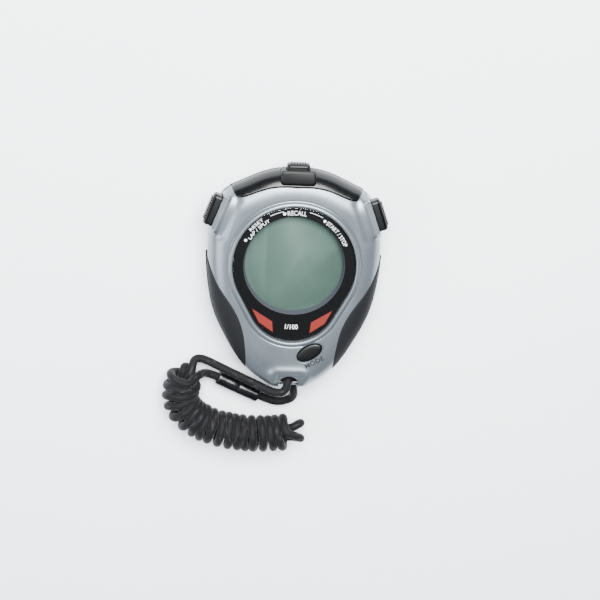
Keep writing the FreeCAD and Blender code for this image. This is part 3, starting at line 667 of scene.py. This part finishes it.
def joined(name, parts, sharp=30):
    points, faces = [], []
    for partPoints, partFaces in parts:
        faces += [tuple(len(points) + k for k in f) for f in partFaces]
        points += [tuple(p) for p in partPoints]
    return meshPiece(name, points, faces, sharp)


def latheShape(profile, low, axis, sides=72):
    # (distance along the axis, radius) rows turned round a line that starts at low
    axis = unit(np.array(axis, float))
    side = unit(np.cross(axis, [0.0, 0.3, 1.0]))
    other = np.cross(axis, side)
    angle = np.linspace(0, 2 * math.pi, sides, endpoint=False)[:, None]
    spokes = np.cos(angle) * side + np.sin(angle) * other
    points = [np.array(low) + axis * a + spokes * max(r, 0.01) for a, r in profile]
    return np.concatenate(points), cappedFaces(len(profile), sides)


def lathe(name, profile, low, axis, sides=72, sharp=35):
    return meshPiece(name, *latheShape(profile, low, axis, sides), sharp)


def pusherCap(name, p):
    # a rounded block with a crowned outer face, its rows from the back edge to the middle of the crown
    origin, outward, along = pusherAxes(p)
    loop = np.array(roundedBox(p["width"], pusher["capHeight"], pusher["corner"], 10))
    rows = []
    shoulder = pusher["capProud"] - 1.1
    for a, shrink in [(pusher["capBack"], 0.25), (pusher["capBack"], 0.12), (pusher["capBack"] + 0.15, 0)]:
        rows.append((loop, a * np.ones(len(loop)), shrink))
    for a in np.linspace(pusher["capBack"] + 0.4, shoulder - 0.2, 5):
        rows.append((loop, a * np.ones(len(loop)), 0.0))
    for shrink in [0, 0.03, 0.12, 0.28, 0.5, 0.75, 1.0, 1.3, 1.7, 2.1, 2.5, 2.9]:
        rows.append((loop, None, shrink))
    points = []
    halves = np.array([p["width"] / 2, pusher["capHeight"] / 2])
    for outlineLoop, depth, shrink in rows:
        scaled = outlineLoop * (1 - shrink / halves)
        if depth is None:
            edge = 1.0 * (1 - math.sqrt(max(0, 1 - (1 - min(shrink, 0.75) / 0.75) ** 2)))
            depth = pusher["capProud"] - scaled[:, 1] ** 2 / 14 - scaled[:, 0] ** 2 / 90 - edge * 0.8
        points.append(origin + outward * depth[:, None] + along * scaled[:, :1]
                      + np.array([0, 0, 1.0]) * scaled[:, 1:2])
    stemRows = [(pusher["stemEnd"], 1.3), (pusher["stemEnd"] + 0.2, 1.5), (pusher["capBack"] + 0.1, 1.5)]
    stem, stemFaces = latheShape(stemRows, origin, outward, 32)
    return joined(name, [(np.concatenate(points), cappedFaces(len(rows), len(loop))), (stem, stemFaces)], 60)


def groupInput(tree, name, kind, value):
    item = tree.interface.new_socket(name, in_out="INPUT", socket_type=kind)
    if value is not None:
        item.default_value = value
    return item.identifier


def ribTree():
    # raised ribs over a cap's crown: short rounded bars laid side by side along its length
    tree = bpy.data.node_groups.new("cap_ribs", "GeometryNodeTree")
    tree.interface.new_socket("Geometry", in_out="INPUT", socket_type="NodeSocketGeometry")
    ids = {name: groupInput(tree, name, kind, None) for name, kind in [
        ("Count", "NodeSocketInt"), ("Pitch", "NodeSocketVector"), ("First", "NodeSocketVector"),
        ("Lower End", "NodeSocketVector"), ("Middle", "NodeSocketVector"), ("Upper End", "NodeSocketVector"),
        ("Rib Radius", "NodeSocketFloat"), ("Material", "NodeSocketMaterial")]}
    tree.interface.new_socket("Geometry", in_out="OUTPUT", socket_type="NodeSocketGeometry")
    given = addNode(tree, "NodeGroupInput").outputs
    row = addNode(tree, "GeometryNodeMeshLine", {"mode": "OFFSET"}, {
        "Count": given["Count"], "Start Location": given["First"], "Offset": given["Pitch"]})
    arc = addNode(tree, "GeometryNodeCurveArc", {"mode": "POINTS"}, {
        "Resolution": 15, "Start": given["Lower End"], "Middle": given["Middle"], "End": given["Upper End"]})
    profile = addNode(tree, "GeometryNodeCurvePrimitiveCircle", inputs={
        "Resolution": 8, "Radius": given["Rib Radius"]})
    rib = addNode(tree, "GeometryNodeCurveToMesh", inputs={
        "Curve": arc.outputs["Curve"], "Profile Curve": profile.outputs["Curve"], "Fill Caps": True})
    ribs = addNode(tree, "GeometryNodeInstanceOnPoints", inputs={
        "Points": row.outputs["Mesh"], "Instance": rib.outputs["Mesh"]})
    solid = addNode(tree, "GeometryNodeRealizeInstances", inputs={"Geometry": ribs.outputs["Instances"]})
    both = addNode(tree, "GeometryNodeJoinGeometry")
    tree.links.new(given["Geometry"], both.inputs[0])
    tree.links.new(solid.outputs[0], both.inputs[0])
    finish = addNode(tree, "GeometryNodeSetMaterial", inputs={
        "Geometry": both.outputs[0], "Material": given["Material"]})
    addNode(tree, "NodeGroupOutput", inputs={"Geometry": finish.outputs[0]})
    return tree, ids


def applyTree(piece, tree, ids, values):
    modifier = piece.modifiers.new("nodes", "NODES")
    modifier.node_group = tree
    for name, value in values.items():
        modifier[ids[name]] = value
    mesh = bpy.data.meshes.new_from_object(piece.evaluated_get(bpy.context.evaluated_depsgraph_get()))
    piece.modifiers.clear()
    piece.data = mesh
    mesh.shade_smooth()
    mesh.set_sharp_from_angle(angle=math.radians(50))


capRibs, capRibIds = ribTree()
ribShape = dict(pitch=1.05, radius=0.24, reach=2.15)


def ribbedCap(name, p, material):
    cap = pusherCap(name, p)
    origin, outward, along = pusherAxes(p)
    up = np.array([0, 0, 1.0])

    def crest(height):
        return (outward * (pusher["capProud"] - height ** 2 / 14 + 0.02) + up * height) * mm

    count = p["ribs"]
    first = toFrame(origin - along * ribShape["pitch"] * (count - 1) / 2)
    applyTree(cap, capRibs, capRibIds, {
        "Count": count, "Pitch": tuple(along * ribShape["pitch"] * mm), "First": tuple(first),
        "Lower End": tuple(crest(-ribShape["reach"])), "Middle": tuple(crest(0.0)),
        "Upper End": tuple(crest(ribShape["reach"])), "Rib Radius": ribShape["radius"] * mm,
        "Material": material})
    return cap


def modeCap():
    angle = math.radians(modeKey["angle"])
    across = np.array([math.cos(angle), math.sin(angle), 0])
    upward = np.array([-math.sin(angle), math.cos(angle), 0])
    points = []
    for shrink, z in [(3.8, 12.2), (1.4, 12.3), (1.4, 15.0), (-0.9, 15.0), (-0.9, 15.8), (0, 15.85),
                      (0, 19.5), (0.03, 19.72), (0.12, 19.9), (0.3, 20.04), (0.55, 20.12),
                      (1.0, 20.2), (1.6, 20.25), (2.3, 20.28), (2.8, 20.28)]:
        loop = ovalLoop(modeKey["long"] - shrink, max(modeKey["short"] - shrink, 0.04))
        points.append(np.array([*modeKey["centre"], z]) + loop[:, :1] * across + loop[:, 1:2] * upward)
    return meshPiece("mode_key_cap", np.concatenate(points), cappedFaces(len(points), len(loop)), 60)


def guardCollar():
    # a rounded collar round the recall pusher: a chamfered block with the pusher's pocket through it
    loop = np.array(roundedBox(13.3, 5.4, 1.3, 8))
    rows = [(11.0, 0.0), (18.2, 0.0), (18.6, 0.1), (18.85, 0.32), (19.0, 0.7)]
    points = [np.column_stack([loop * (1 - inset / np.array([6.65, 2.7])), np.full(len(loop), z)])
              + np.array([0, 34.6, 0]) for z, inset in rows]
    piece = meshPiece("recall_collar", np.concatenate(points), cappedFaces(len(rows), len(loop)), 50)
    p = pushers["recall"]
    origin, outward, along = pusherAxes(p)
    tall = pusher["capHeight"] + 2 * pusher["gap"]
    pocket = prism("tool_h", roundedBox(p["width"] + 2 * pusher["gap"], tall, pusher["corner"]), -2.3, 6,
                   along, (0, 0, 1), origin)
    return cut(piece, pocket)


def eggSheet(name, rows):
    # a closed sheet over the window's outline; each row is an inset from the outline and a height
    turn = np.linspace(-math.pi, math.pi, 240, endpoint=False)
    outer, lean = lensRadius(turn), lensLean(turn)
    points = [ringPoint(turn, np.maximum(outer - inset / lean, 0.02), z + 0 * turn) for inset, z in rows]
    return meshPiece(name, np.concatenate(points), cappedFaces(len(rows), 240), 40)


lensCap = eggSheet("window_lens", [
    (20.0, 18.55), (8.0, 18.55), (0.05, 18.55), (0.0, 18.6), (0.0, 19.9), (0.06, 20.05),
    (0.22, 20.15), (0.5, 20.19), (1.0, 20.21), (2.5, 20.24), (5.0, 20.29), (9.0, 20.35),
    (14.0, 20.39), (20.0, 20.41), (23.0, 20.41)])


bezelRows = [(0, 20.2), (0, 22.9), (3.1, 22.9), (3.1, 19.62), (3.0, 19.52), (2.6, 19.45),
             (0.3, 19.05), (0, 19.0)]
bezelPoints, _ = latheShape(bezelRows, (0, 0, 15.0), (0, 0, 1), 180)
bezelCup = meshPiece("bezel_cup", bezelPoints, gridFaces(len(bezelRows), 180, True, True))
print("buttons, window and bezel made")


# print on the dial, under the window
def letters(text, capital, bold=0.0):
    # flat solid letters, starting at the origin, as vertices in millimetres and faces
    curve = bpy.data.curves.new("letters", "FONT")
    curve.body = text
    curve.size = 10
    curve.resolution_u = 3
    curve.offset = bold
    curve.extrude = 0.2
    writing = linked("letters", curve)
    mesh = bpy.data.meshes.new_from_object(writing.evaluated_get(bpy.context.evaluated_depsgraph_get()))
    points = np.array([v.co for v in mesh.vertices])
    faces = [tuple(f.vertices) for f in mesh.polygons]
    bpy.data.objects.remove(writing)
    bpy.data.meshes.remove(mesh)
    points[:, 0] -= points[:, 0].min()
    height = points[:, 1].max() - max(points[:, 1].min(), -0.2)
    points[:, :2] *= capital / height
    points[:, 2] = np.sign(points[:, 2])
    return points, faces


def arcText(text, capital, radius, start, finish, level, bold=0.0, inward=False):
    # letters stood round the dial from one clock angle to another, their feet or their heads to its middle
    points, faces = letters(text, capital, bold)
    share = points[:, 0] / points[:, 0].max()
    turn = np.radians(start + (finish - start) * share)
    out = radius + (points[:, 1] - capital / 2) * (-1 if inward else 1)
    return np.column_stack([out * np.sin(turn), out * np.cos(turn), level + 0.02 * points[:, 2]]), faces


def dotShape(x, y, radius, level):
    loop = ovalLoop(radius, radius, 24) + np.array([x, y])
    points = np.concatenate([np.column_stack([loop, np.full(24, level + d)]) for d in (-0.02, 0.02)])
    return points, cappedFaces(2, 24)


def arcBand(radius, width, start, finish, level):
    turn = np.radians(np.linspace(start, finish, 24))
    rows = [np.column_stack([r * np.sin(turn), r * np.cos(turn), np.full(24, level + d)])
            for r, d in [(radius - width / 2, -0.02), (radius + width / 2, -0.02),
                         (radius + width / 2, 0.02), (radius - width / 2, 0.02)]]
    points = np.stack(rows, axis=1).reshape(-1, 3)
    return points, cappedFaces(24, 4)


printLevel = 18.44


def onClock(radius, turn):
    return radius * math.sin(math.radians(turn)), radius * math.cos(math.radians(turn))


whitePrint = joined("dial_lettering", [
    dotShape(*onClock(21.2, 30.7), 0.55, printLevel),
    arcText("START / STOP", 1.6, 21.2, 33.5, 66, printLevel, 0.02),
    dotShape(-4.6, 20.6, 0.6, printLevel), arcText("RECALL", 1.8, 21.1, -9.4, 10.4, printLevel, 0.02),
    dotShape(*onClock(21.4, -62.8), 0.55, printLevel),
    arcText("LAP / SPLIT", 1.25, 20.5, -59.5, -30, printLevel, 0.02),
    arcText("RESET", 1.25, 22.25, -52, -35, printLevel, 0.02),
    arcBand(22.0, 0.2, 13, 27, printLevel + 0.03), arcBand(22.0, 0.2, -27, -13, printLevel + 0.03),
    arcText("1/100", 2.0, 24.6, 185.8, 174.2, printLevel, 0.02, inward=True)])


def wedge(side):
    corners = [(15.6, -17.6), (7.6, -22.6), (7.2, -27.0), (12.9, -23.0)]
    loop = [(side * x, y) for x, y in corners]
    points = np.concatenate([np.column_stack([loop, np.full(4, printLevel + d)]) for d in (-0.02, 0.02)])
    return points, cappedFaces(2, 4)


redPrint = joined("dial_wedges", [wedge(1), wedge(-1)])


def modeText():
    # small capitals along a slanted line, draped on the case
    points, faces = letters("MODE", 2.0, 0.08)
    start, finish = np.array([6.6, -41.4]), np.array([13.6, -37.4])
    along = unit(finish - start)
    upward = np.array([-along[1], along[0]])
    stretch = np.linalg.norm(finish - start) / points[:, 0].max()
    flat = start + points[:, :1] * stretch * along + points[:, 1:2] * upward
    height = faceHeight(flat[:, 0], flat[:, 1]) + 0.09 + 0.07 * points[:, 2]
    return meshPiece("mode_lettering", np.column_stack([flat, height]), faces, 30)


modePrint = modeText()
print("print laid")


# clasp: a socket and a plug, each with grip rings, meeting at a seam in the middle
def claspHalf(name, low, axis, reach):
    rows = [(1.2, 1.77), (0.35, 1.79), (0.0, 1.95), (-0.02, 2.3), (0.06, 2.62), (0.22, 2.84),
            (0.5, 2.98), (0.9, 3.04)]
    for k in range(4):
        start = 1.3 + 0.72 * k
        rows += [(start, 3.05), (start + 0.1, 2.84), (start + 0.3, 2.84), (start + 0.4, 3.05)]
    rows += [(4.6, 3.06), (6.4, 3.08), (reach - 0.25, 3.08), (reach - 0.08, 3.0), (reach, 2.86), (reach, 0.6)]
    rows = [(1.2, 0.05)] + rows + [(reach, 0.05)]
    return lathe(name, rows, low, axis, 56, 40)


left, right = np.array(lanyard["claspLeft"]), np.array(lanyard["claspRight"])
claspReach = float(np.linalg.norm(right - left)) / 2
claspPlug = claspHalf("clasp_plug_half", left, right - left, claspReach - 0.02)
claspSocket = claspHalf("clasp_socket_half", right, left - right, claspReach - 0.02)


# materials; every grain size is in millimetres
def flakePaint():
    # silver lacquer over moulded plastic: fine metal flakes, faint orange peel, slightly duller where thin
    material, tree = newMaterial("silver_lacquer")
    place = addNode(tree, "ShaderNodeTexCoord").outputs["Object"]
    flakes = addNode(tree, "ShaderNodeTexVoronoi", inputs={"Vector": place, "Scale": 1 / (0.09 * mm)})
    cloud = addNode(tree, "ShaderNodeTexNoise", inputs={
        "Vector": place, "Scale": 1 / (14 * mm), "Detail": 2.0}).outputs["Fac"]
    peel = addNode(tree, "ShaderNodeTexNoise", inputs={
        "Vector": place, "Scale": 1 / (1.1 * mm), "Detail": 2.0}).outputs["Fac"]
    grain = addNode(tree, "ShaderNodeSeparateColor", inputs={"Color": flakes.outputs["Color"]}).outputs["Red"]
    sparkle = addNode(tree, "ShaderNodeMapRange", inputs={"Value": grain, "To Min": 0.25, "To Max": 0.75})
    tone = addNode(tree, "ShaderNodeMath", {"operation": "MULTIPLY_ADD"}, {
        0: cloud, 1: 0.35, 2: sparkle.outputs[0]})
    colour = addNode(tree, "ShaderNodeMix", {"data_type": "RGBA"}, {"Factor": tone.outputs[0]})
    colour.inputs[6].default_value = hexColour("#50575C")
    colour.inputs[7].default_value = hexColour("#757D83")
    rough = addNode(tree, "ShaderNodeMapRange", inputs={"Value": cloud, "To Min": 0.3, "To Max": 0.42})
    bump = addNode(tree, "ShaderNodeBump", inputs={"Height": peel, "Strength": 0.35, "Distance": 0.02 * mm})
    shader = addNode(tree, "ShaderNodeBsdfPrincipled", inputs={
        "Base Color": colour.outputs[2], "Metallic": 0.72, "Roughness": rough.outputs[0],
        "Coat Weight": 0.12, "Coat Roughness": 0.18, "Normal": bump.outputs[0]})
    addNode(tree, "ShaderNodeOutputMaterial", inputs={"Surface": shader.outputs[0]})
    return material


def clearAcrylic():
    # clear acrylic: what it reflects grows at a glance, with faint smears; its inner side reflects nothing
    material, tree = newMaterial("clear_acrylic")
    place = addNode(tree, "ShaderNodeTexCoord").outputs["Object"]
    smear = addNode(tree, "ShaderNodeTexNoise", inputs={
        "Vector": place, "Scale": 1 / (9 * mm), "Detail": 5.0, "Roughness": 0.6}).outputs["Fac"]
    rough = addNode(tree, "ShaderNodeMapRange", inputs={
        "Value": smear, "From Min": 0.4, "From Max": 0.8, "To Min": 0.02, "To Max": 0.12})
    fresnel = addNode(tree, "ShaderNodeFresnel", inputs={"IOR": 1.33}).outputs[0]
    back = addNode(tree, "ShaderNodeNewGeometry").outputs["Backfacing"]
    front = addNode(tree, "ShaderNodeMath", {"operation": "SUBTRACT"}, {0: 1.0, 1: back}).outputs[0]
    share = addNode(tree, "ShaderNodeMath", {"operation": "MULTIPLY"}, {0: fresnel, 1: front}).outputs[0]
    clear = addNode(tree, "ShaderNodeBsdfTransparent")
    gloss = addNode(tree, "ShaderNodeBsdfAnisotropic", inputs={"Roughness": rough.outputs[0]})
    mix = addNode(tree, "ShaderNodeMixShader", inputs={0: share, 1: clear.outputs[0], 2: gloss.outputs[0]})
    addNode(tree, "ShaderNodeOutputMaterial", inputs={"Surface": mix.outputs[0]})
    return material


def zebraRubber():
    # stacked carbon and clear silicone layers, 0.18 mm apart
    material, tree = newMaterial("zebra_rubber")
    place = addNode(tree, "ShaderNodeTexCoord").outputs["Object"]
    bands = addNode(tree, "ShaderNodeTexWave", {"bands_direction": "X"}, {
        "Vector": place, "Scale": 1 / (3.6 * mm), "Distortion": 0.3}).outputs["Fac"]
    colour = addNode(tree, "ShaderNodeMix", {"data_type": "RGBA"}, {"Factor": bands})
    colour.inputs[6].default_value = hexColour("#3A302E")
    colour.inputs[7].default_value = hexColour("#D8BDB0")
    shader = addNode(tree, "ShaderNodeBsdfPrincipled", inputs={
        "Base Color": colour.outputs[2], "Roughness": 0.6})
    addNode(tree, "ShaderNodeOutputMaterial", inputs={"Surface": shader.outputs[0]})
    return material


slotMaterials = {
    "silver_abs": flakePaint(),
    "black_abs": grainMaterial("moulded_black_plastic", "#050606", "#0B0C0D", 0.25, 0.03, 0, (0.42, 0.56),
                               **{"Specular IOR Level": 0.22}),
    "gloss_black": grainMaterial("gloss_black_plastic", "#020203", "#050607", 1.4, 0.012, 0, (0.2, 0.3),
                                 **{"Specular IOR Level": 0.3}),
    "soft_grip": grainMaterial("soft_touch_rubber", "#090A0B", "#0E0F12", 0.22, 0.05, 0, (0.62, 0.78),
                               **{"Specular IOR Level": 0.18}),
    "button_black": grainMaterial("ribbed_button_plastic", "#020303", "#060607", 0.2, 0.02, 0, (0.34, 0.46),
                                  **{"Specular IOR Level": 0.25}),
    "lens_clear": clearAcrylic(),
    "print_black": grainMaterial("black_printed_film", "#010102", "#040405", 0.5, 0.003, 0, (0.3, 0.4),
                                 **{"Specular IOR Level": 0.15}),
    "lcd": grainMaterial("blank_polariser", "#34443E", "#3C4F48", 11, 0.0, 0, (0.35, 0.45),
                         **{"Specular IOR Level": 0.1}),
    "reflector": grainMaterial("satin_foil", "#9A9E9B", "#B4B8B4", 0.3, 0.005, 0.9, (0.3, 0.4)),
    "inner_plastic": grainMaterial("dark_grey_moulding", "#2A2B32", "#41434D", 0.4, 0.02, 0.0, (0.3, 0.42)),
    "zebra": zebraRubber(),
    "pcb": grainMaterial("solder_mask", "#0D3B22", "#14522E", 0.9, 0.02, 0, (0.25, 0.35)),
    "chip": grainMaterial("moulded_epoxy", "#101011", "#1C1C1E", 0.12, 0.02, 0, (0.5, 0.65)),
    "steel": grainMaterial("bright_steel", "#8E9092", "#B9BBBD", 0.15, 0.004, 1.0, (0.22, 0.36)),
    "brass": grainMaterial("brass_sheet", "#A98545", "#C9A762", 0.3, 0.004, 1.0, (0.25, 0.4)),
    "seal_rubber": grainMaterial("nitrile_seal", "#0E0E0F", "#1A1A1B", 0.15, 0.03, 0, (0.5, 0.65)),
    "ceramic": grainMaterial("fired_ceramic", "#B09A7C", "#CDB998", 0.2, 0.01, 0, (0.4, 0.5)),
    "cord": braidMaterial(),
    "clasp_black": grainMaterial("clasp_plastic", "#050607", "#0E0F12", 0.8, 0.015, 0, (0.2, 0.32),
                                 **{"Specular IOR Level": 0.35})}
whiteInk = grainMaterial("white_screen_print", "#B9BDC0", "#DDE0E1", 0.12, 0.002, 0, (0.4, 0.5))
redInk = grainMaterial("vermilion_screen_print", "#5C0D03", "#681205", 0.15, 0.002, 0, (0.38, 0.48))
darkInk = grainMaterial("dark_pad_print", "#07080A", "#0E1012", 0.12, 0.002, 0, (0.45, 0.55))
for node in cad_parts.values():
    for k, own in enumerate(node.data.materials):
        node.data.materials[k] = slotMaterials[own.name.split(".")[0]]
print("materials made")


def finish(piece, body, slot, *nodes, ink=None):
    place(piece, body, slot, ink or slotMaterials[slot], *nodes)


def refined(name, node, body, slot, sharp=30.0):
    # a CAD node's mesh with its loose triangles joined and its flat faces told apart from its round ones
    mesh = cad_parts[node].data.copy()
    mesh.name = name
    work = bmesh.new()
    work.from_mesh(mesh)
    bmesh.ops.remove_doubles(work, verts=work.verts, dist=1e-6)
    work.to_mesh(mesh)
    work.free()
    mesh.shade_smooth()
    mesh.set_sharp_from_angle(angle=math.radians(sharp))
    piece = linked(name, mesh)
    finish(piece, body, slot, node)
    return piece


finish(frontShellPiece, "case", "silver_abs", "front_case")
finish(rightGrip, "case", "soft_grip", "right_grip")
finish(leftGrip, "case", "soft_grip", "left_grip")
finish(panel, "case", "gloss_black", "top_panel")
finish(guardCollar(), "case", "black_abs", "recall_guard")
for name, p in pushers.items():
    cap = ribbedCap(name + "_cap", p, slotMaterials["button_black"])
    finish(cap, p["body"], "button_black", name + "_pusher")
finish(modeCap(), "mode_key", "button_black", "mode_button")
finish(lensCap, "case", "lens_clear", "lens")
finish(bezelCup, "case", "inner_plastic", "display_bezel")
finish(whitePrint, "case", "print_black", ink=whiteInk)
finish(redPrint, "case", "print_black", ink=redInk)
finish(modePrint, "case", "print_black", ink=darkInk)
finish(claspPlug, "case", "clasp_black", "clasp_plug")
finish(claspSocket, "case", "clasp_black", "clasp_socket")
finish(cord, "case", "cord", "lanyard_strand", "lanyard_hank", "lanyard_tail")
refined("rear_shell", "rear_case", "case", "black_abs")
refined("hatch_cover", "battery_hatch", "hatch", "black_abs")
refined("case_screw_set", "case_screws", "case", "steel")
refined("lanyard_pin", "lanyard_bar", "case", "steel")
refined("dial_film", "dial_ring", "case", "print_black")
refined("display_glass", "lcd_panel", "case", "lcd")

print("pieces finished")


# plain pale table and soft studio light
def softLight(name, at, size, watts, colour):
    light = bpy.data.lights.new(name, "AREA")
    light.size = size
    light.energy = watts
    light.color = hexColour(colour)[:3]
    lamp = bpy.data.objects.new(name, light)
    lamp.location = at
    lamp.rotation_euler = (-Vector(at)).to_track_quat("-Z", "Y").to_euler()
    bpy.context.collection.objects.link(lamp)


table = bpy.data.meshes.new("table")
table.from_pydata([(-1.5, -1.5, 0), (1.5, -1.5, 0), (1.5, 1.5, 0), (-1.5, 1.5, 0)], [], [(0, 1, 2, 3)])
tableTop = linked("table", table)
table.materials.append(grainMaterial("pale_table", "#EDF1F4", "#F1F5F8", 60, 0.0, 0, (0.7, 0.8)))
softLight("overhead", (0.05, 0.4, 0.7), 0.55, 40, "#FFFFFF")
softLight("left_fill", (-0.6, -0.1, 0.5), 0.4, 5, "#F4F8FF")
world = bpy.data.worlds.new("studio")
world.use_nodes = True
bpy.context.scene.world = world
world.node_tree.nodes["Background"].inputs["Color"].default_value = hexColour("#DDE6EC")
world.node_tree.nodes["Background"].inputs["Strength"].default_value = 0.4
